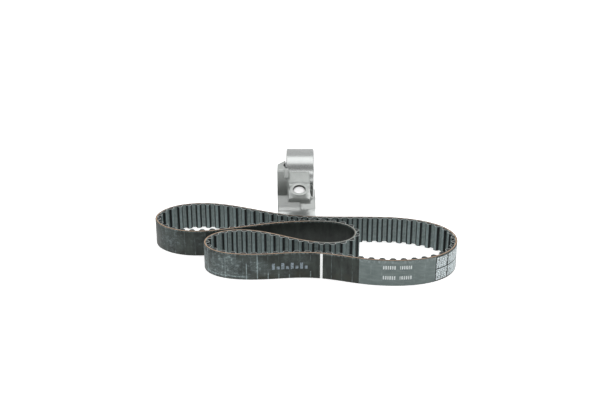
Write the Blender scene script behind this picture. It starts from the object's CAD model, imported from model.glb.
"""Timing belt in folded loops with its roller tensioner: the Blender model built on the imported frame."""
import math
import random

import bmesh
import bpy
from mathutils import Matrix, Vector


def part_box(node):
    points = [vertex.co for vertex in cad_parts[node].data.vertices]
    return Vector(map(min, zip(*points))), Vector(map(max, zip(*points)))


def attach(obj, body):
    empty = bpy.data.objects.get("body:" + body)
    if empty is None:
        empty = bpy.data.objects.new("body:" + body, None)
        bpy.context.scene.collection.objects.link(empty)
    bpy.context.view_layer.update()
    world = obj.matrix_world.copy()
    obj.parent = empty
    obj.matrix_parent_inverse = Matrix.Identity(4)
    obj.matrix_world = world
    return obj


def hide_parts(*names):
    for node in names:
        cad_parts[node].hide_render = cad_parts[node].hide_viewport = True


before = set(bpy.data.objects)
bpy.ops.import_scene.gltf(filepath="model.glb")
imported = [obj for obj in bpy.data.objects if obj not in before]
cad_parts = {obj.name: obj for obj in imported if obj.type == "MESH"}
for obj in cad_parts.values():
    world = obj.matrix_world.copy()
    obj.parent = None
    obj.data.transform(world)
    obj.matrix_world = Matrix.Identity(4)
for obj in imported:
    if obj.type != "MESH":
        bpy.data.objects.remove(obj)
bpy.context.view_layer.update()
MM = 0.001

# ---------------------------------------------------------------- belt path, in mm
TEETH = 102
PITCH = 9.525
LENGTH = TEETH * PITCH
WIDTH = 25.0
BACK = 1.1           # from the cord line out to the smooth face
CORD_HALF = 0.4      # half the thickness of the cord layer
LAND = 0.7           # from the cord line in to the rubber between the teeth
FACING = 0.3         # thickness of the woven facing
FIRST_TOOTH = -1.2   # arc position of the first tooth's centre
CENTRE_Y = -17.4     # how far the whole fold is moved in y
SPLINE_STEPS = 64    # points in one span of the spline
CHORD = 1.2          # half the chord that gives the belt's direction
GAP = 0.002          # keeps the faces of two layers apart
FOLD = [
    (140, -20.5), (138, -3.5), (128, 10.5), (113, 20), (96.5, 25.5), (79.5, 28), (62, 28.5),
    (44.5, 28.5), (27, 28.5), (9.5, 29), (-8, 31), (-24.5, 35.5), (-40.5, 42.5), (-56.5, 49.5),
    (-72.5, 56), (-89.5, 60), (-106.5, 60), (-123.5, 55), (-136.5, 42.5), (-141, 25.5),
    (-133, 10), (-117.5, 0), (-100.5, -3), (-83.5, -1), (-67, 4), (-50, 9), (-33.5, 14),
    (-16.5, 17.5), (0.5, 19.5), (18.5, 20), (37, 16.5), (50, 2.5), (47.5, -17), (31, -27),
    (11.5, -25), (-5.5, -18.5), (-21, -10.5), (-36.5, -3), (-53.5, 1.5), (-71, 0), (-86, -9.5),
    (-91, -25.5), (-82, -40.5), (-65.5, -47.5), (-48, -49), (-30.5, -48), (-13.5, -45.5),
    (4.5, -44.5), (21.5, -47), (38.5, -52.5), (55, -57.5), (72.5, -60), (89.5, -60),
    (106.5, -57), (122.5, -49.5), (134.5, -37),
]


def spline_points():
    """The closed cubic B-spline that the fold's corners steer, as a dense list of points."""
    count = len(FOLD)
    out = []
    for i in range(count):
        a, b, c, d = (Vector(FOLD[(i + k) % count]) for k in range(4))
        for j in range(SPLINE_STEPS):
            t = j / SPLINE_STEPS
            out.append((a * (1 - t) ** 3 + b * (3 * t**3 - 6 * t**2 + 4)
                        + c * (-3 * t**3 + 3 * t**2 + 3 * t + 1) + d * t**3) / 6)
    return out


RAW = spline_points()
ARC = [0.0]
for i in range(len(RAW)):
    ARC.append(ARC[-1] + (RAW[(i + 1) % len(RAW)] - RAW[i]).length)
SCALE = LENGTH / ARC[-1]
ARC = [a * SCALE for a in ARC]
RAW = [p * SCALE for p in RAW]


def cord(s):
    """Point of the cord line at arc position s, in mm."""
    s = s % LENGTH
    lo, hi = 0, len(ARC) - 1
    while hi - lo > 1:
        mid = (lo + hi) // 2
        if ARC[mid] <= s:
            lo = mid
        else:
            hi = mid
    t = (s - ARC[lo]) / (ARC[lo + 1] - ARC[lo])
    return RAW[lo].lerp(RAW[(lo + 1) % len(RAW)], t)


def beside(s, d):
    """Point at distance d from the cord line, positive towards the teeth."""
    a = (cord(s + CHORD) - cord(s - CHORD)).normalized()
    p = cord(s)
    return Vector((p.x - d * a.y, p.y + CENTRE_Y + d * a.x))


# ---------------------------------------------------------------- mesh helpers
CREASE = math.radians(35)


def finish_mesh(bm, name, material):
    """Turns a bmesh in mm into an object in metres with smooth faces and sharp creases."""
    bmesh.ops.recalc_face_normals(bm, faces=bm.faces[:])
    bmesh.ops.scale(bm, vec=(MM, MM, MM), verts=bm.verts[:])
    for f in bm.faces:
        f.smooth = True
    for e in bm.edges:
        e.smooth = len(e.link_faces) == 2 and e.calc_face_angle(0) < CREASE
    me = bpy.data.meshes.new(name)
    bm.to_mesh(me)
    bm.free()
    for m in material if isinstance(material, (list, tuple)) else [material]:
        me.materials.append(m)
    obj = bpy.data.objects.new(name, me)
    bpy.context.scene.collection.objects.link(obj)
    return obj


def belt_face(bm, uv, corners, slot=0):
    """Adds a face from corners of (vertex, arc position), its UVs being its place on the belt."""
    f = bm.faces.new([v for v, _ in corners])
    f.material_index = slot
    for loop, (v, s) in zip(f.loops, corners):
        loop[uv].uv = (s * MM, v.co.z * MM)


def skin_loop(bm, uv, rings, slots):
    """Joins rings of (arc position, vertices) into one closed skin round the whole belt."""
    for i, (s0, a) in enumerate(rings):
        s1, b = rings[(i + 1) % len(rings)]
        if i + 1 == len(rings):
            s1 += LENGTH
        for k, slot in enumerate(slots):
            j = (k + 1) % len(slots)
            belt_face(bm, uv, ((a[k], s0), (a[j], s0), (b[j], s1), (b[k], s1)), slot)


def belt_layer(name, material, stations, section, slots=None):
    """Sweeps a section round the belt.

    stations: list of (s, extra); section(extra) gives the section's (d, z) points there.
    slots: the material slot of each side of the section.
    """
    bm = bmesh.new()
    uv = bm.loops.layers.uv.new("belt")
    rings = []
    for s, extra in stations:
        ring = []
        for d, z in section(extra):
            p = beside(s, d)
            ring.append(bm.verts.new((p.x, p.y, z)))
        rings.append((s, ring))
    skin_loop(bm, uv, rings, slots or [0] * len(rings[0][1]))
    return finish_mesh(bm, name, material)


# ---------------------------------------------------------------- material helpers
def scaled(tone, by):
    """A colour made lighter or darker, held to 1."""
    return tuple(min(1.0, c * by) for c in tone)


class Nodes:
    """Short-hand for building a material's node tree."""

    def __init__(self, name):
        self.mat = bpy.data.materials.new(name)
        self.mat.use_nodes = True
        self.tree = self.mat.node_tree
        self.tree.nodes.clear()
        self.out = self.new("ShaderNodeOutputMaterial")
        self.bsdf = self.new("ShaderNodeBsdfPrincipled")
        self.link(self.bsdf.outputs[0], self.out.inputs[0])

    def new(self, kind, **values):
        node = self.tree.nodes.new(kind)
        for key, value in values.items():
            setattr(node, key, value)
        return node

    def link(self, a, b):
        self.tree.links.new(a, b)

    def put(self, socket, value):
        """Links an output into a socket, or sets the socket's own value."""
        if isinstance(value, bpy.types.NodeSocket):
            self.link(value, socket)
        else:
            socket.default_value = value

    def math(self, op, a, b=0.0, c=None, clamp=False):
        node = self.new("ShaderNodeMath", operation=op, use_clamp=clamp)
        self.put(node.inputs[0], a)
        self.put(node.inputs[1], b)
        if c is not None:
            self.put(node.inputs[2], c)
        return node.outputs[0]

    def axes(self, vector):
        """The three parts of a vector."""
        node = self.new("ShaderNodeSeparateXYZ")
        self.link(vector, node.inputs[0])
        return list(node.outputs)

    def belt_uv(self):
        """Arc position and height on the belt, in mm."""
        u, v, _ = self.axes(self.new("ShaderNodeUVMap", uv_map="belt").outputs[0])
        return self.math("MULTIPLY", u, 1.0 / MM), self.math("MULTIPLY", v, 1.0 / MM)

    def vector(self, x, y):
        node = self.new("ShaderNodeCombineXYZ")
        for socket, value in zip(node.inputs, (x, y)):
            self.put(socket, value)
        return node.outputs[0]

    def position(self):
        """Place on the object, in metres."""
        return self.new("ShaderNodeTexCoord").outputs["Object"]

    def noise(self, vector, scale, detail, rough=0.5):
        node = self.new("ShaderNodeTexNoise")
        self.link(vector, node.inputs["Vector"])
        node.inputs["Scale"].default_value = scale
        node.inputs["Detail"].default_value = detail
        node.inputs["Roughness"].default_value = rough
        return node.outputs["Fac"]

    def ramp(self, value, *stops):
        """A grey for each value, between stops of (position, grey)."""
        node = self.new("ShaderNodeValToRGB")
        self.link(value, node.inputs[0])
        ramp = node.color_ramp
        while len(ramp.elements) > 1:
            ramp.elements.remove(ramp.elements[-1])
        for i, (pos, grey) in enumerate(stops):
            e = ramp.elements[0] if i == 0 else ramp.elements.new(pos)
            e.position = pos
            e.color = (grey, grey, grey, 1.0)
        return node.outputs[0]

    def mix(self, fac, a, b):
        """Colour a where fac is 0 and b where it is 1."""
        node = self.new("ShaderNodeMix", data_type="RGBA")
        self.put(node.inputs[0], fac)
        for socket, value in ((node.inputs[6], a), (node.inputs[7], b)):
            self.put(socket, value if isinstance(value, bpy.types.NodeSocket) else (*value, 1.0))
        return node.outputs[2]

    def from_tooth(self, s):
        """Distance along the belt from the nearest tooth's centre, in mm, at least 0."""
        turns = self.math("DIVIDE", self.math("ADD", s, 0.5 * PITCH - FIRST_TOOTH), PITCH)
        part = self.math("SUBTRACT", self.math("FRACT", turns), 0.5)
        return self.math("MULTIPLY", self.math("ABSOLUTE", part), PITCH)

    def spot(self, s, z, at, height, reach, tall, strength):
        """A soft oval patch on the belt, strength at its middle and 0 at its rim."""
        along = self.math("DIVIDE", self.math("SUBTRACT", s, at), reach)
        up = self.math("DIVIDE", self.math("SUBTRACT", z, height), tall)
        far = self.math("MULTIPLY_ADD", along, along, self.math("MULTIPLY", up, up))
        return self.math("MULTIPLY", self.math("SUBTRACT", 1.0, far, clamp=True), strength)

    def total(self, values):
        """Sum of several masks, held to 1."""
        out = values[0]
        for value in values[1:]:
            out = self.math("ADD", out, value, clamp=True)
        return out

    def ease(self, value, low, high, first, last):
        """Goes smoothly from first at low to last at high, and stays there."""
        node = self.new("ShaderNodeMapRange", interpolation_type="SMOOTHSTEP")
        self.link(value, node.inputs[0])
        for socket, limit in zip(node.inputs[1:5], (low, high, first, last)):
            socket.default_value = limit
        return node.outputs[0]

    def below(self, value, stop, fall):
        """1 up to stop, falling smoothly to 0 past it."""
        return self.ease(value, stop, stop + fall, 1.0, 0.0)

    def window(self, value, start, rise, stop, fall):
        """1 between start and stop, falling smoothly to 0 outside."""
        up = self.ease(value, start - rise, start, 0.0, 1.0)
        return self.math("MULTIPLY", up, self.below(value, stop, fall))

    def bump(self, height, strength, distance):
        node = self.new("ShaderNodeBump")
        node.inputs["Strength"].default_value = strength
        node.inputs["Distance"].default_value = distance
        self.link(height, node.inputs["Height"])
        return node.outputs[0]

    def surface(self, color, rough, normal=None, **fixed):
        self.link(color, self.bsdf.inputs["Base Color"])
        self.put(self.bsdf.inputs["Roughness"], rough)
        if normal is not None:
            self.link(normal, self.bsdf.inputs["Normal"])
        for key, value in fixed.items():
            self.bsdf.inputs[key.replace("_", " ")].default_value = value
        return self.mat


# ---------------------------------------------------------------- belt materials
# chalky scuffs on the back: arc position, height, reach along, reach up, strength
SCUFFS = [
    (725, 14, 15, 14, 1.0), (733, 9, 12, 8, 0.55), (746, 17, 16, 9, 0.50), (757, 11, 13, 9, 0.60),
    (708, 14, 16, 16, 0.40), (790, 19, 18, 8, 0.22), (697, 13, 13, 15, 0.62), (718, 4, 16, 7, 1.0),
    (742, 3, 12, 5, 0.6), (730, 14, 8, 13, 0.7), (776, 6, 14, 7, 0.22),
    (372, 15, 26, 12, 0.18), (395, 9, 18, 8, 0.16), (336, 14, 20, 18, 0.50), (545, 20, 26, 9, 0.30),
    (560, 12, 30, 14, 0.15), (150, 13, 60, 12, 0.20), (255, 12, 50, 12, 0.25), (40, 13, 40, 13, 0.25),
]
# thin upright rub lines on the back: arc position, lowest, highest, strength
RUB_LINES = [
    (697.5, 1, 24, 0.45), (706.4, 1, 24, 0.5), (744.5, 0.2, 15, 0.75), (754.1, 1, 24, 0.70),
    (763.6, 0, 6, 0.7), (773.1, 0, 4, 0.55), (782.6, 0, 3, 0.5), (801.7, 2, 6, 0.5), (725.4, 2, 20, 0.3),
]
LINE_HALF, LINE_FADE = 0.25, 0.35
LINE_RISE, LINE_FALL = 1.0, 1.5
# the mould's marks stand this far along from the tooth centres
MOULD_SHIFT = 2.65
MARK_WIDTH = (0.12, 0.35)
# heights on the back, in mm: stop, fall, or start, rise, stop, fall
LOW_EDGE = (1.2, 3.5)
BROWN_EDGE = (3.0, 8.0)
DOTTED_HEIGHT = (2.6, 0.5, 3.2, 0.6)
TOP_EDGE = (24.3, 0.8, 26.0, 1.0)
# stretches of the belt, in mm along it: start, rise, stop, fall
PLAIN_RUN = (404, 8, 660, 8)         # back without mould marks
DOTTED_RUN = (706, 8, 742, 3)        # back with a dotted line near its lower edge
DARK_RUN = (400, 20, 530, 20)        # back of the pocket
DUSTY_CORD_RUN = (478, 14, 572, 10)  # cord greyed round the inner bend
DARK_CORD_RUN = (40, 30, 290, 20)    # cord darkened along the rear strand
BROWN_FILM = (0.034, 0.033, 0.022)
DARK_FILM = (0.008, 0.010, 0.009)


def rubber_back(name, base, worn):
    """Smooth belt back: a mould's mark for each tooth, chalky scuffs, rub lines and a fine grain."""
    n = Nodes(name)
    s, z = n.belt_uv()
    flat = n.vector(s, z)
    cloud = n.noise(flat, 0.06, 4.0, 0.6)
    grain = n.noise(flat, 3.2, 2.0, 0.6)
    smear = n.noise(n.vector(n.math("MULTIPLY", s, 0.7), z), 0.30, 6.0, 0.68)
    smear = n.ramp(smear, (0.49, 0.0), (0.68, 1.0))
    slant = n.vector(n.math("MULTIPLY_ADD", z, 0.3, n.math("MULTIPLY", s, 0.25)),
                     n.math("MULTIPLY_ADD", s, -0.8, n.math("MULTIPLY", z, 1.6)))
    scratch = n.ramp(n.noise(slant, 0.8, 4.0, 0.6), (0.46, 0.0), (0.66, 1.0))
    upright = n.noise(n.vector(n.math("MULTIPLY", s, 1.5), n.math("MULTIPLY", z, 0.10)), 0.6, 4.0, 0.6)
    upright = n.ramp(upright, (0.36, 0.15), (0.64, 1.0))
    zone = n.total([n.spot(s, z, *scuff) for scuff in SCUFFS])
    rub = n.math("MULTIPLY_ADD", smear, 0.85, n.math("MULTIPLY", scratch, 0.35))
    chalk = n.math("MULTIPLY", n.math("MULTIPLY", zone, rub), upright)
    haze = n.math("MULTIPLY", n.math("MULTIPLY", zone, cloud), 0.22)
    lines = []
    for at, low, high, power in RUB_LINES:
        line = n.math("MULTIPLY", n.window(s, at - LINE_HALF, LINE_FADE, at + LINE_HALF, LINE_FADE),
                      n.window(z, low, LINE_RISE, high, LINE_FALL))
        lines.append(n.math("MULTIPLY", line, power))
    broken = n.ramp(n.noise(flat, 0.5, 4.0, 0.7), (0.34, 0.25), (0.62, 1.0))
    lines = n.math("MULTIPLY", n.total(lines), broken)
    # a faint line for each tooth, MOULD_SHIFT past its centre and clearest at the lower edge
    mark = n.below(n.from_tooth(n.math("SUBTRACT", s, MOULD_SHIFT)), *MARK_WIDTH)
    low_edge = n.below(z, *LOW_EDGE)
    seen = n.ramp(n.noise(flat, 0.11, 3.0), (0.46, 0.0), (0.70, 0.55))
    mark = n.math("MULTIPLY", mark, n.math("MULTIPLY_ADD", low_edge, 0.35, seen, clamp=True))
    mark = n.math("MULTIPLY", mark, n.math("SUBTRACT", 1.0, n.window(s, *PLAIN_RUN)))
    dotted = n.math("MULTIPLY", n.window(z, *DOTTED_HEIGHT), n.window(s, *DOTTED_RUN))
    dotted = n.math("MULTIPLY", dotted, n.ramp(n.noise(flat, 1.3, 2.0), (0.42, 0.0), (0.60, 0.8)))
    speck = n.ramp(n.noise(flat, 0.9, 1.0), (0.735, 0.0), (0.77, 1.0))
    wear = n.total([chalk, haze, n.math("MULTIPLY", mark, 0.42), lines, dotted])
    wear = n.math("MULTIPLY_ADD", speck, n.math("MULTIPLY_ADD", zone, 0.55, 0.05), wear, clamp=True)
    edge = n.math("MULTIPLY", n.window(z, *TOP_EDGE),
                  n.ramp(n.noise(flat, 0.5, 3.0), (0.42, 0.0), (0.62, 1.0)))
    wear = n.math("MULTIPLY_ADD", edge, 0.30, wear, clamp=True)
    stain = n.noise(n.vector(s, n.math("MULTIPLY", z, 0.35)), 0.16, 5.0, 0.65)
    tone = n.mix(n.ramp(stain, (0.34, 0.0), (0.66, 1.0)), scaled(base, 0.55), scaled(base, 1.85))
    brown = n.math("MULTIPLY", n.below(z, *BROWN_EDGE), n.ramp(cloud, (0.40, 0.0), (0.65, 0.6)))
    tone = n.mix(brown, tone, BROWN_FILM)
    tone = n.mix(n.math("MULTIPLY", n.window(s, *DARK_RUN), 0.45), tone, DARK_FILM)
    color = n.mix(wear, tone, worn)
    rough = n.math("MULTIPLY_ADD", wear, 0.28, n.math("MULTIPLY_ADD", cloud, 0.12, 0.40))
    height = n.math("MULTIPLY_ADD", grain, 0.5, n.math("MULTIPLY", scratch, 0.12))
    height = n.math("MULTIPLY_ADD", mark, 0.5, height)
    return n.surface(color, rough, n.bump(height, 0.30, 0.00010), Specular_IOR_Level=0.25)


def cut_rubber(name, base):
    """Knife-cut rubber edge: fine pale drag marks."""
    n = Nodes(name)
    fine = n.noise(n.position(), 1400.0, 3.0, 0.7)
    slow = n.noise(n.position(), 90.0, 3.0, 0.6)
    color = n.mix(n.ramp(fine, (0.35, 0.0), (0.75, 1.0)), base, scaled(base, 2.1))
    color = n.mix(n.ramp(slow, (0.4, 0.0), (0.7, 0.5)), color, scaled(base, 1.5))
    return n.surface(color, 0.72, n.bump(fine, 0.5, 0.0001))


def cord_material():
    """Tan twisted cord seen at the cut edges, greyed by dust round the inner bend, dark at the rear."""
    n = Nodes("tan_cord")
    s, z = n.belt_uv()
    twist = n.noise(n.vector(s, z), 1.4, 3.0, 0.7)
    slow = n.noise(n.vector(s, z), 0.09, 3.0, 0.6)
    color = n.mix(n.ramp(twist, (0.30, 0.0), (0.70, 1.0)), (0.42, 0.23, 0.12), (0.76, 0.54, 0.37))
    color = n.mix(n.ramp(slow, (0.42, 0.0), (0.70, 0.6)), color, (0.34, 0.27, 0.21))
    color = n.mix(n.math("MULTIPLY", n.window(s, *DUSTY_CORD_RUN), 0.85), color, (0.33, 0.36, 0.34))
    color = n.mix(n.math("MULTIPLY", n.window(s, *DARK_CORD_RUN), 0.45), color, (0.15, 0.14, 0.12))
    return n.surface(color, 0.75, n.bump(twist, 0.6, 0.00015))


# the facing's ladder, and its parts in mm from the tooth's centre
RUNG_STEP = 1.45
RAILS = (3.75, 0.25, 4.25, 0.25)
TIP = (1.15, 0.55)
LAND_WINDOW = (3.05, 0.45, 6.0, 1.0)
FLANK_TONE = (0.008, 0.011, 0.011)
LAND_TONE = (0.290, 0.355, 0.350)
TIP_TONE = (0.235, 0.295, 0.295)


def facing_fabric():
    """Woven nylon facing: rubbed tips, near black flanks, and a pale ladder of two rails on each land."""
    n = Nodes("woven_facing")
    s, z = n.belt_uv()
    flat = n.vector(s, z)
    across = n.from_tooth(s)
    rungs = n.math("SINE", n.math("MULTIPLY", z, 2 * math.pi / RUNG_STEP))
    rails = n.window(across, *RAILS)
    weave = n.math("MULTIPLY_ADD", rungs, 0.22, n.math("MULTIPLY_ADD", rails, 0.35, 0.42))
    cloud = n.noise(flat, 0.30, 4.0, 0.6)
    fuzz = n.noise(flat, 4.0, 3.0, 0.7)
    streak = n.noise(n.vector(n.math("MULTIPLY", s, 2.0), n.math("MULTIPLY", z, 0.16)), 0.9, 3.0, 0.6)
    tip = n.below(across, *TIP)
    land = n.window(across, *LAND_WINDOW)
    ladder = n.math("MULTIPLY", land, n.ramp(weave, (0.15, 0.35), (0.85, 1.0)))
    base = n.mix(ladder, FLANK_TONE, LAND_TONE)
    rubbed = n.math("MULTIPLY", tip, n.ramp(streak, (0.25, 0.72), (0.72, 1.0)))
    base = n.mix(rubbed, base, TIP_TONE)
    base = n.mix(n.ramp(cloud, (0.30, 0.30), (0.60, 0.0)), base, (0.030, 0.038, 0.040))
    lint = n.math("MULTIPLY", n.math("ADD", tip, land, clamp=True), n.ramp(fuzz, (0.58, 0.0), (0.80, 0.30)))
    base = n.mix(lint, base, (0.42, 0.47, 0.46))
    height = n.math("MULTIPLY_ADD", fuzz, 0.4, n.math("MULTIPLY", weave, land))
    rough = n.math("MULTIPLY_ADD", cloud, 0.15, 0.58)
    return n.surface(base, rough, n.bump(height, 0.7, 0.00016), Sheen_Weight=0.04, Sheen_Roughness=0.5,
                     Specular_IOR_Level=0.22)


def ink(name, color, under, wear_scale, wear):
    """Printed ink, worn through to what is under it; a lower wear leaves more of it."""
    n = Nodes(name)
    s, z = n.belt_uv()
    worn = n.noise(n.vector(s, z), wear_scale, 4.0, 0.7)
    fine = n.noise(n.vector(s, z), wear_scale * 5, 2.0, 0.6)
    fac = n.math("MULTIPLY_ADD", fine, 0.3, n.math("MULTIPLY", worn, 0.7))
    color = n.mix(n.ramp(fac, (wear, 1.0), (wear + 0.16, 0.0)), color, under)
    return n.surface(color, n.math("MULTIPLY_ADD", worn, 0.2, 0.5), n.bump(fine, 0.3, 0.00005))


LABEL_MARK_WIDTH = (0.2, 0.5)
LABEL_RIM = (22.6, 1.2, 26.0, 1.0)


def label_material():
    """Matt grey printed band with long wavy streaks and faint upright marks over the teeth."""
    n = Nodes("label_print")
    s, z = n.belt_uv()
    flat = n.vector(s, z)
    cloud = n.noise(flat, 0.10, 4.0, 0.6)
    wave = n.vector(n.math("MULTIPLY", s, 0.22),
                    n.math("MULTIPLY_ADD", s, 0.10, n.math("MULTIPLY", z, 1.1)))
    streak = n.noise(wave, 0.42, 5.0, 0.65)
    fine = n.noise(flat, 2.2, 3.0, 0.65)
    color = n.mix(n.ramp(cloud, (0.30, 0.0), (0.70, 1.0)), (0.088, 0.118, 0.114), (0.132, 0.168, 0.163))
    color = n.mix(n.ramp(streak, (0.50, 0.0), (0.76, 0.55)), color, (0.200, 0.240, 0.235))
    color = n.mix(n.ramp(streak, (0.24, 0.45), (0.42, 0.0)), color, (0.055, 0.072, 0.070))
    mark = n.math("MULTIPLY", n.below(n.from_tooth(s), *LABEL_MARK_WIDTH),
                  n.ramp(n.noise(flat, 0.2, 3.0), (0.45, 0.0), (0.65, 0.40)))
    color = n.mix(mark, color, (0.22, 0.26, 0.26))
    rim = n.math("MULTIPLY", n.window(z, *LABEL_RIM),
                 n.ramp(n.noise(flat, 0.45, 3.0), (0.46, 0.0), (0.62, 0.6)))
    color = n.mix(rim, color, (0.26, 0.30, 0.30))
    color = n.mix(n.ramp(fine, (0.60, 0.0), (0.80, 0.4)), color, (0.05, 0.065, 0.065))
    return n.surface(color, n.math("MULTIPLY_ADD", cloud, 0.15, 0.50), n.bump(fine, 0.35, 0.00008))


# ---------------------------------------------------------------- bracket and roller materials
# the pale and the dirty part of the casting's front, in metres: stop, fall, or start, rise, stop, fall
PALE_HEIGHT, PALE_DEPTH = (0.033, 0.008), (0.028, 0.006)
SOOT_HEIGHT = (0.0405, 0.001, 0.044, 0.016)
SOOT_SIDE, SOOT_DEPTH = (-0.0165, 0.003), (0.0281, 0.0012)
PALE_TONE, SOOT_TONE = (0.84, 0.86, 0.85), (0.16, 0.18, 0.165)
# cells of noise to the metre, drawn out into turning lines
TURNING = 9000.0


def cast_material():
    """As-cast aluminium: sand pits and flow clouds, paler low on the front, dirtier up the wall."""
    n = Nodes("cast_aluminium")
    p = n.position()
    pits = n.noise(p, 1500.0, 3.0, 0.7)
    grain = n.noise(p, 600.0, 4.0, 0.65)
    cloud = n.noise(p, 60.0, 4.0, 0.6)
    flow = n.noise(p, 22.0, 3.0, 0.55)
    color = n.mix(n.ramp(cloud, (0.30, 0.0), (0.72, 1.0)), (0.42, 0.445, 0.43), (0.56, 0.58, 0.565))
    color = n.mix(n.ramp(flow, (0.40, 0.0), (0.70, 0.40)), color, (0.37, 0.395, 0.38))
    x, y, z = n.axes(p)
    pale = n.math("MULTIPLY", n.below(z, *PALE_HEIGHT), n.below(y, *PALE_DEPTH))
    color = n.mix(n.math("MULTIPLY", pale, 0.40), color, PALE_TONE)
    soot = n.math("MULTIPLY", n.window(z, *SOOT_HEIGHT), n.below(x, *SOOT_SIDE))
    soot = n.math("MULTIPLY", soot, n.below(y, *SOOT_DEPTH))
    color = n.mix(n.math("MULTIPLY", soot, 0.62), color, SOOT_TONE)
    color = n.mix(n.ramp(pits, (0.64, 0.0), (0.74, 0.55)), color, (0.25, 0.26, 0.255))
    rough = n.math("MULTIPLY_ADD", cloud, 0.12, 0.30)
    height = n.math("MULTIPLY_ADD", pits, 0.35, grain)
    return n.surface(color, rough, n.bump(height, 0.45, 0.00018), Metallic=0.70)


def turned_steel(name, tone, rough, around, lines, metallic=1.0):
    """Steel with fine turning lines round an axis, faint handling marks and a slight oil haze."""
    n = Nodes(name)
    p = n.position()
    axis = n.axes(p)["xyz".index(around)]
    fine = n.noise(n.vector(n.math("MULTIPLY", axis, TURNING), 0.0), 1.0, 3.0, 0.7)
    cloud = n.noise(p, 55.0, 3.0, 0.6)
    spots = n.noise(p, 700.0, 2.0, 0.6)
    color = n.mix(cloud, scaled(tone, 0.90), scaled(tone, 1.06))
    color = n.mix(n.ramp(spots, (0.68, 0.0), (0.78, 0.25)), color, scaled(tone, 0.55))
    roughness = n.math("MULTIPLY_ADD", fine, 0.08, n.math("MULTIPLY_ADD", cloud, 0.08, rough))
    return n.surface(color, roughness, n.bump(fine, lines, 0.00002), Metallic=metallic)


def moulded(name, tone, rough):
    """Moulded rubber with a faint orange-peel."""
    n = Nodes(name)
    p = n.position()
    peel = n.noise(p, 900.0, 3.0, 0.6)
    cloud = n.noise(p, 120.0, 3.0, 0.6)
    color = n.mix(cloud, scaled(tone, 0.8), scaled(tone, 1.3))
    return n.surface(color, rough, n.bump(peel, 0.3, 0.00006))


# ---------------------------------------------------------------- the materials
MAT_BACK = rubber_back("belt_back", (0.0195, 0.0250, 0.0215), (0.34, 0.42, 0.43))
MAT_CUT_BACK = cut_rubber("cut_back_rubber", (0.045, 0.045, 0.040))
MAT_CUT_TOOTH = cut_rubber("cut_tooth_rubber", (0.030, 0.034, 0.033))
MAT_CORD = cord_material()
MAT_FACING = facing_fabric()
MAT_FACING_CUT = cut_rubber("cut_facing", (0.40, 0.43, 0.42))
MAT_LABEL = label_material()
MAT_WHITE = ink("white_ink", (0.88, 0.90, 0.89), (0.50, 0.53, 0.53), 0.8, 0.22)
MAT_PRINT = ink("pale_ink", (0.66, 0.70, 0.70), (0.17, 0.20, 0.20), 1.1, 0.36)
MAT_HATCH = ink("hatch_ink", (0.72, 0.80, 0.82), (0.22, 0.26, 0.27), 0.7, 0.40)
MAT_MARK = ink("mark_ink", (0.25, 0.31, 0.36), (0.035, 0.04, 0.04), 0.8, 0.40)
MAT_CAST = cast_material()
MAT_BORE = turned_steel("bore_wall", (0.09, 0.09, 0.085), 0.42, "z", 0.3, 0.7)
MAT_ROLLER = turned_steel("roller_steel", (0.47, 0.485, 0.48), 0.19, "x", 0.30)
MAT_BEARING = turned_steel("bearing_steel", (0.66, 0.67, 0.68), 0.14, "x", 0.2)
MAT_ZINC = turned_steel("zinc_steel", (0.60, 0.62, 0.63), 0.30, "x", 0.2)
MAT_SLEEVE = turned_steel("sleeve_steel", (0.44, 0.45, 0.46), 0.34, "x", 0.4)
MAT_PIN = turned_steel("pin_steel", (0.97, 0.97, 0.97), 0.30, "z", 0.3, 0.35)
MAT_DARK = turned_steel("spring_steel", (0.16, 0.16, 0.17), 0.32, "x", 0.2)
MAT_BRASS = turned_steel("cage_brass", (0.66, 0.48, 0.24), 0.26, "x", 0.2)
MAT_SEAL = moulded("seal_rubber", (0.020, 0.019, 0.018), 0.5)

# ---------------------------------------------------------------- belt pieces
STATIONS = TEETH * 12
BACK_STATIONS = [(i * LENGTH / STATIONS, None) for i in range(STATIONS)]
EDGE_ROUND = 0.22
CORD_INSET = 0.02  # the cord layer stands this far inside the cut edges


def back_section(_):
    """Section of the smooth back, with rounded outer edges."""
    d0, d1, r, w = -BACK, -CORD_HALF - GAP, EDGE_ROUND, WIDTH
    m = 0.3 * r  # half-way round an edge
    return [(d1, w), (d0 + r, w), (d0 + m, w - m), (d0, w - r),
            (d0, r), (d0 + m, m), (d0 + r, 0.0), (d1, 0.0)]


belt_back = belt_layer("belt_back_skin", [MAT_BACK, MAT_CUT_BACK], BACK_STATIONS, back_section,
                       [1, 1, 0, 0, 0, 1, 1, 1])
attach(belt_back, "belt")
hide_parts("belt_back_rubber")

belt_cords = belt_layer("belt_cord_layer", MAT_CORD, BACK_STATIONS,
                        lambda _: [(-CORD_HALF, WIDTH - CORD_INSET), (CORD_HALF, WIDTH - CORD_INSET),
                                   (CORD_HALF, CORD_INSET), (-CORD_HALF, CORD_INSET)])
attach(belt_cords, "belt")
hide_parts("belt_tension_cords")

# half outline of a tooth: distance from its centre, height above the land
HALF_TOOTH = [(4.1, 0.0), (3.35, 0.0), (3.1, 0.04), (2.9, 0.18), (2.75, 0.42), (2.6, 0.80), (2.42, 1.35),
              (2.2, 1.88), (1.9, 2.35), (1.5, 2.72), (1.0, 2.97), (0.5, 3.08)]
OUTLINE = [(-u, h) for u, h in HALF_TOOTH] + [(0.0, 3.10)] + [(u, h) for u, h in reversed(HALF_TOOTH)]


def offset_outline(points, gap):
    """Moves the tooth outline outwards by gap, square to itself."""
    out = []
    for i, (u, h) in enumerate(points):
        a = points[max(0, i - 1)]
        b = points[min(len(points) - 1, i + 1)]
        t = Vector((b[0] - a[0], b[1] - a[1])).normalized()
        out.append((u - gap * t.y, h + gap * t.x))
    return out


FACING_OUTLINE = offset_outline(OUTLINE, FACING)


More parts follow.
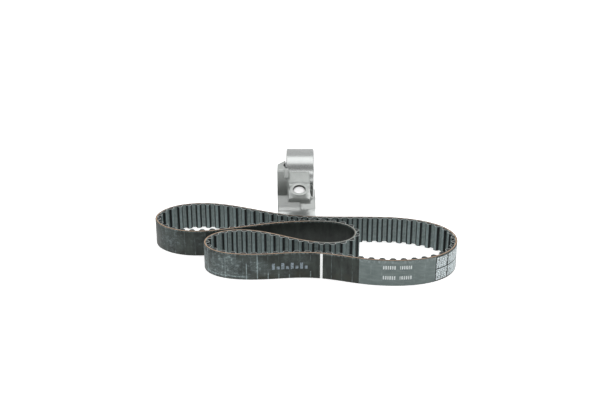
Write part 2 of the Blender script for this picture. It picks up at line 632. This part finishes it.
def tooth_stations(outline):
    """Stations round the belt that follow every tooth: arc position, distance from the cord line."""
    return [(FIRST_TOOTH + k * PITCH + u, LAND + h) for k in range(TEETH) for u, h in outline]


tooth_rubber = belt_layer("belt_tooth_body", MAT_CUT_TOOTH, tooth_stations(OUTLINE),
                          lambda d: [(CORD_HALF, WIDTH), (d, WIDTH), (d, 0.0), (CORD_HALF, 0.0)])
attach(tooth_rubber, "belt")
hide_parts("belt_tooth_rubber")


# how unevenly the facing's edges are cut: top, bottom, and how much lower its outer side ends
FRAY_TOP, FRAY_LOW, FRAY_DROP = (-0.02, 0.06), (0.0, 0.03), 0.06


def facing_layer():
    """The woven skin over the teeth, with its cut edges a little proud and uneven."""
    bm = bmesh.new()
    uv = bm.loops.layers.uv.new("belt")
    rings = []
    rand = random.Random(7)
    for k in range(TEETH):
        for (u0, h0), (u1, h1) in zip(OUTLINE, FACING_OUTLINE):
            s0, s1 = FIRST_TOOTH + k * PITCH + u0, FIRST_TOOTH + k * PITCH + u1
            inner, outer = beside(s0, LAND + h0 + GAP), beside(s1, LAND + h1)
            top = WIDTH + rand.uniform(*FRAY_TOP)
            low = rand.uniform(*FRAY_LOW)
            ring = [bm.verts.new((inner.x, inner.y, top)),
                    bm.verts.new((outer.x, outer.y, top - FRAY_DROP)),
                    bm.verts.new((outer.x, outer.y, low)),
                    bm.verts.new((inner.x, inner.y, low))]
            rings.append((s1, ring))
    skin_loop(bm, uv, rings, [1, 0, 1, 1])
    return finish_mesh(bm, "belt_woven_facing", [MAT_FACING, MAT_FACING_CUT])


facing = facing_layer()
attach(facing, "belt")
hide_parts("belt_tooth_facing")


# ---------------------------------------------------------------- print on the back
INK_STEP = 0.8  # longest straight piece of a patch
ON_BACK = 0.01  # lift of ink that stands on the rubber
ON_BAND = 0.08  # lift of ink that stands on the label band
INK_THICK, LABEL_THICK = 0.05, 0.06


def ink_patches(name, material, patches, lift, thick=INK_THICK):
    """Thin ink patches on the smooth back. Each is (s0, s1, z0, z1, slant) in mm."""
    bm = bmesh.new()
    uv = bm.loops.layers.uv.new("belt")
    for s0, s1, z0, z1, slant in patches:
        n = max(1, math.ceil((s1 - s0) / INK_STEP))
        rings = []
        for i in range(n + 1):
            s = s0 + (s1 - s0) * i / n
            ring = []
            for d, z, lean in ((lift, z0, 0), (lift + thick, z0, 0),
                               (lift + thick, z1, slant), (lift, z1, slant)):
                p = beside(s + lean, -BACK - d)
                v = bm.verts.new((p.x, p.y, z))
                ring.append((v, s + lean))
            rings.append(ring)
        for a, b in zip(rings, rings[1:]):
            for k in range(4):
                j = (k + 1) % 4
                belt_face(bm, uv, (a[k], a[j], b[j], b[k]))
        belt_face(bm, uv, rings[0])
        belt_face(bm, uv, rings[-1])
    return finish_mesh(bm, name, material)


INDEX_START, INDEX_END, INDEX_INSET = 810.2, 812.5, 0.15
STEP = LENGTH / (TEETH * 3)  # a third of a pitch, which the label band's ends are counted in
LABEL_START, LABEL_END, LABEL_INSET = 266 * STEP + 1.1, 288 * STEP - 0.3, 0.25
index = ink_patches("index_stripe", MAT_WHITE,
                    [(INDEX_START, INDEX_END, INDEX_INSET, WIDTH - INDEX_INSET, 0)], ON_BACK)
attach(index, "belt")
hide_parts("index_line")
label = ink_patches("label_print_band", MAT_LABEL,
                    [(LABEL_START, LABEL_END, LABEL_INSET, WIDTH - LABEL_INSET, 0)], ON_BACK, LABEL_THICK)
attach(label, "belt")
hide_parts("label_band")


def row_of_dashes(start, widths, gap, z0, z1):
    """Plain upright dashes, one after another; a width below 0 leaves a space that wide."""
    out, s = [], start
    for w in widths:
        if w > 0:
            out.append((s, s + w, z0, z1, 0.0))
            s += w + gap
        else:
            s -= w
    return out


DASHES = [1.1, 1.2, 0.9, 1.2, 1.0, 1.2, -3.0, 0.6, 1.2, 1.0, 1.2, 0.9, 1.2]
DASH_START, DASH_GAP, DASH_TALL = 866.6, 0.85, 3.4
DASH_ROWS = (6.4, 16.4)
dashes = []
for low in DASH_ROWS:
    dashes += row_of_dashes(DASH_START, DASHES, DASH_GAP, low, low + DASH_TALL)
marks = ink_patches("label_dashes", MAT_PRINT, dashes, ON_BAND)
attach(marks, "belt")
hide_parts("label_marks")


HATCH_ROWS = (1.4, 13.0)
HATCH_COLUMNS = ((914.6, 927.4), (928.6, 947.5))
HATCH_LINES, LINE_STEP, LINE_SHIFT = 6, 1.78, 0.4
STROKE_TALL, STROKE_LEAN, SHORTEST = 1.48, 0.45, 0.8
STROKE_WIDTHS, STROKE_GAPS = (1.0, 3.4), (0.25, 0.35, 0.7)


def hatch_patches():
    """Two rows and two columns of blocks built of short leaning strokes in close lines."""
    rand = random.Random(11)
    out = []
    for low in HATCH_ROWS:
        for start, stop in HATCH_COLUMNS:
            for line in range(HATCH_LINES):
                z0 = low + line * LINE_STEP
                s = start + rand.uniform(0.0, LINE_SHIFT)
                while s < stop - SHORTEST:
                    w = min(rand.uniform(*STROKE_WIDTHS), stop - s)
                    out.append((s, s + w, z0, z0 + STROKE_TALL, STROKE_LEAN))
                    s += w + rand.choice(STROKE_GAPS)
    return out


hatch = ink_patches("hatch_blocks", MAT_HATCH, hatch_patches(), ON_BACK)
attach(hatch, "belt")
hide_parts("hatch_marks")

BAR_START, BAR_LOW, BAR_WIDTH, BAR_GAP = 767.0, 9.4, 2.6, 1.6
BAR_HEIGHTS = [6.0, 3.0] * 4
bars, at = [], BAR_START
for tall in BAR_HEIGHTS:
    bars.append((at, at + BAR_WIDTH, BAR_LOW, BAR_LOW + tall, 0.0))
    at += BAR_WIDTH + BAR_GAP
plain = ink_patches("plain_bars", MAT_MARK, bars, ON_BACK)
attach(plain, "belt")
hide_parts("plain_mark")


# ---------------------------------------------------------------- bracket casting, in metres
VOXEL, ROUNDS, KEEP = 0.0005, 7, 0.30  # remesh size, rounds of smoothing, share of faces kept
CAST_CREASE = math.radians(40)
BOSS_LEAN = math.radians(19)
BORE_SIDES = 96
PIN_BORE_RADIUS, PIN_BORE_LENGTH, PIN_BORE_RISE = 0.00575, 0.014, 0.00565
SLEEVE_BORE_RADIUS, SLEEVE_BORE_LENGTH = 0.00753, 0.060


def cast_from(node, name):
    """Copies a CAD solid and rounds its edges the way a casting's are."""
    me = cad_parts[node].data.copy()
    me.name = name
    obj = bpy.data.objects.new(name, me)
    bpy.context.scene.collection.objects.link(obj)
    me.materials.clear()
    remesh = obj.modifiers.new("voxels", "REMESH")
    remesh.mode = "VOXEL"
    remesh.voxel_size = VOXEL
    smooth = obj.modifiers.new("soften", "SMOOTH")
    smooth.factor = 0.5
    smooth.iterations = ROUNDS
    shrink = obj.modifiers.new("reduce", "DECIMATE")
    shrink.ratio = KEEP
    settle(obj)
    return obj


def settle(obj):
    """Makes an object's modifiers part of its mesh."""
    deps = bpy.context.evaluated_depsgraph_get()
    out = bpy.data.meshes.new_from_object(obj.evaluated_get(deps))
    obj.modifiers.clear()
    obj.data = out
    out.name = obj.name


def machine_bore(obj, place, direction, radius, length, material):
    """Cuts a clean round bore through a casting, with its own wall material."""
    bm = bmesh.new()
    bmesh.ops.create_cone(bm, cap_ends=True, segments=BORE_SIDES,
                          radius1=radius, radius2=radius, depth=length)
    me = bpy.data.meshes.new("cutter")
    bm.to_mesh(me)
    bm.free()
    me.materials.append(material)
    cutter = bpy.data.objects.new("cutter", me)
    bpy.context.scene.collection.objects.link(cutter)
    cutter.location = place
    cutter.rotation_euler = Vector(direction).to_track_quat("Z", "Y").to_euler()
    cut = obj.modifiers.new("bore", "BOOLEAN")
    cut.operation = "DIFFERENCE"
    cut.solver = "EXACT"
    cut.material_mode = "TRANSFER"
    cut.object = cutter
    settle(obj)
    bpy.data.objects.remove(cutter)


def middle(node):
    """Middle of a CAD node's box."""
    low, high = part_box(node)
    return (Vector(low) + Vector(high)) / 2


casting = cast_from("bracket_casting", "bracket_body")
casting.data.materials.append(MAT_CAST)
pin_axis = Vector((0.0, -math.sin(BOSS_LEAN), math.cos(BOSS_LEAN)))
machine_bore(casting, middle("ear_pin") + PIN_BORE_RISE * pin_axis, pin_axis,
             PIN_BORE_RADIUS, PIN_BORE_LENGTH, MAT_BORE)
for sleeve in ("mount_sleeve_front", "mount_sleeve_back"):
    machine_bore(casting, middle(sleeve), (1, 0, 0), SLEEVE_BORE_RADIUS, SLEEVE_BORE_LENGTH, MAT_SLEEVE)
for f in casting.data.polygons:
    f.use_smooth = True
casting.data.set_sharp_from_angle(angle=CAST_CREASE)
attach(casting, "bracket")
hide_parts("bracket_casting")

for node, material in (
    ("ear_pin", MAT_PIN), ("mount_sleeve_front", MAT_SLEEVE), ("mount_sleeve_back", MAT_SLEEVE),
    ("axle_bolt", MAT_ZINC), ("axle_washer", MAT_ZINC), ("axle_spacer", MAT_SLEEVE),
    ("bearing_inner_race", MAT_BEARING), ("roller_shell", MAT_ROLLER), ("bearing_outer_race", MAT_BEARING),
    ("retaining_ring", MAT_DARK), ("seal_left", MAT_SEAL), ("seal_right", MAT_SEAL),
    ("bearing_balls", MAT_BEARING), ("ball_cage", MAT_BRASS),
):
    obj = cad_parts[node]
    if not obj.material_slots:
        obj.data.materials.append(material)
    for slot in obj.material_slots:
        slot.material = material

# ---------------------------------------------------------------- floor, light, camera
scene = bpy.context.scene
FLOOR_REACH = 4000  # mm each way
# name, place, aim, width, depth, power: metres and watts
LIGHTS = [
    ("overhead", (0.0, -0.06, 1.3), (0, -0.06, 0), 1.6, 0.86, 6.1),
    ("front", (0.0, -1.55, 0.82), (0, 0.05, 0.05), 1.3, 0.36, 3.0),
    ("side", (1.4, 0.2, 0.8), (0, 0, 0), 0.7, 0.7, 3.0),
]
# surroundings: strength behind the set, strength on the camera's side, half the span of the fade
BACKDROP, CAMERA_SIDE, FADE = 0.85, 0.36, 0.75
LENS, SENSOR, CLIP_END = 60.0, 36.0, 50.0
CAMERA_PLACE = (-0.00285, -0.8497, 0.4313)
CAMERA_ELEVATION = 24.3


def floor_material():
    """Matt white floor that glows a little, as a lit studio floor looks."""
    n = Nodes("pale_floor")
    fine = n.noise(n.position(), 40.0, 2.0, 0.5)
    color = n.mix(fine, (0.90, 0.90, 0.90), (0.92, 0.92, 0.92))
    return n.surface(color, 0.6, Emission_Color=(1.0, 1.0, 1.0, 1.0), Emission_Strength=0.60,
                     Specular_IOR_Level=0.2)


bm = bmesh.new()
bmesh.ops.create_grid(bm, x_segments=1, y_segments=1, size=FLOOR_REACH)
floor = finish_mesh(bm, "floor", floor_material())


def softbox(name, place, aim, width, depth, power):
    """A rectangular light at place, turned to shine at aim."""
    data = bpy.data.lights.new(name, "AREA")
    data.shape = "RECTANGLE"
    data.size = width
    data.size_y = depth
    data.energy = power
    obj = bpy.data.objects.new(name, data)
    obj.location = place
    obj.rotation_euler = (Vector(aim) - Vector(place)).to_track_quat("-Z", "Y").to_euler()
    scene.collection.objects.link(obj)


for light in LIGHTS:
    softbox(*light)

world = bpy.data.worlds.new("studio")
world.use_nodes = True
tree = world.node_tree
background = tree.nodes["Background"]
direction = tree.nodes.new("ShaderNodeTexCoord")
split = tree.nodes.new("ShaderNodeSeparateXYZ")
fade = tree.nodes.new("ShaderNodeMapRange")
fade.interpolation_type = "SMOOTHSTEP"
for socket, value in zip(fade.inputs[1:5], (-FADE, FADE, CAMERA_SIDE, BACKDROP)):
    socket.default_value = value
tree.links.new(direction.outputs["Generated"], split.inputs[0])
tree.links.new(split.outputs[1], fade.inputs[0])
tree.links.new(fade.outputs[0], background.inputs[1])
background.inputs[0].default_value = (1.0, 1.0, 1.0, 1.0)
scene.world = world
scene.view_settings.view_transform = "Standard"

camera_data = bpy.data.cameras.new("camera")
camera_data.lens = LENS
camera_data.sensor_width = SENSOR
camera_data.clip_end = CLIP_END
camera = bpy.data.objects.new("camera", camera_data)
camera.location = CAMERA_PLACE
camera.rotation_euler = (math.radians(90 - CAMERA_ELEVATION), 0.0, 0.0)
scene.collection.objects.link(camera)
scene.camera = camera
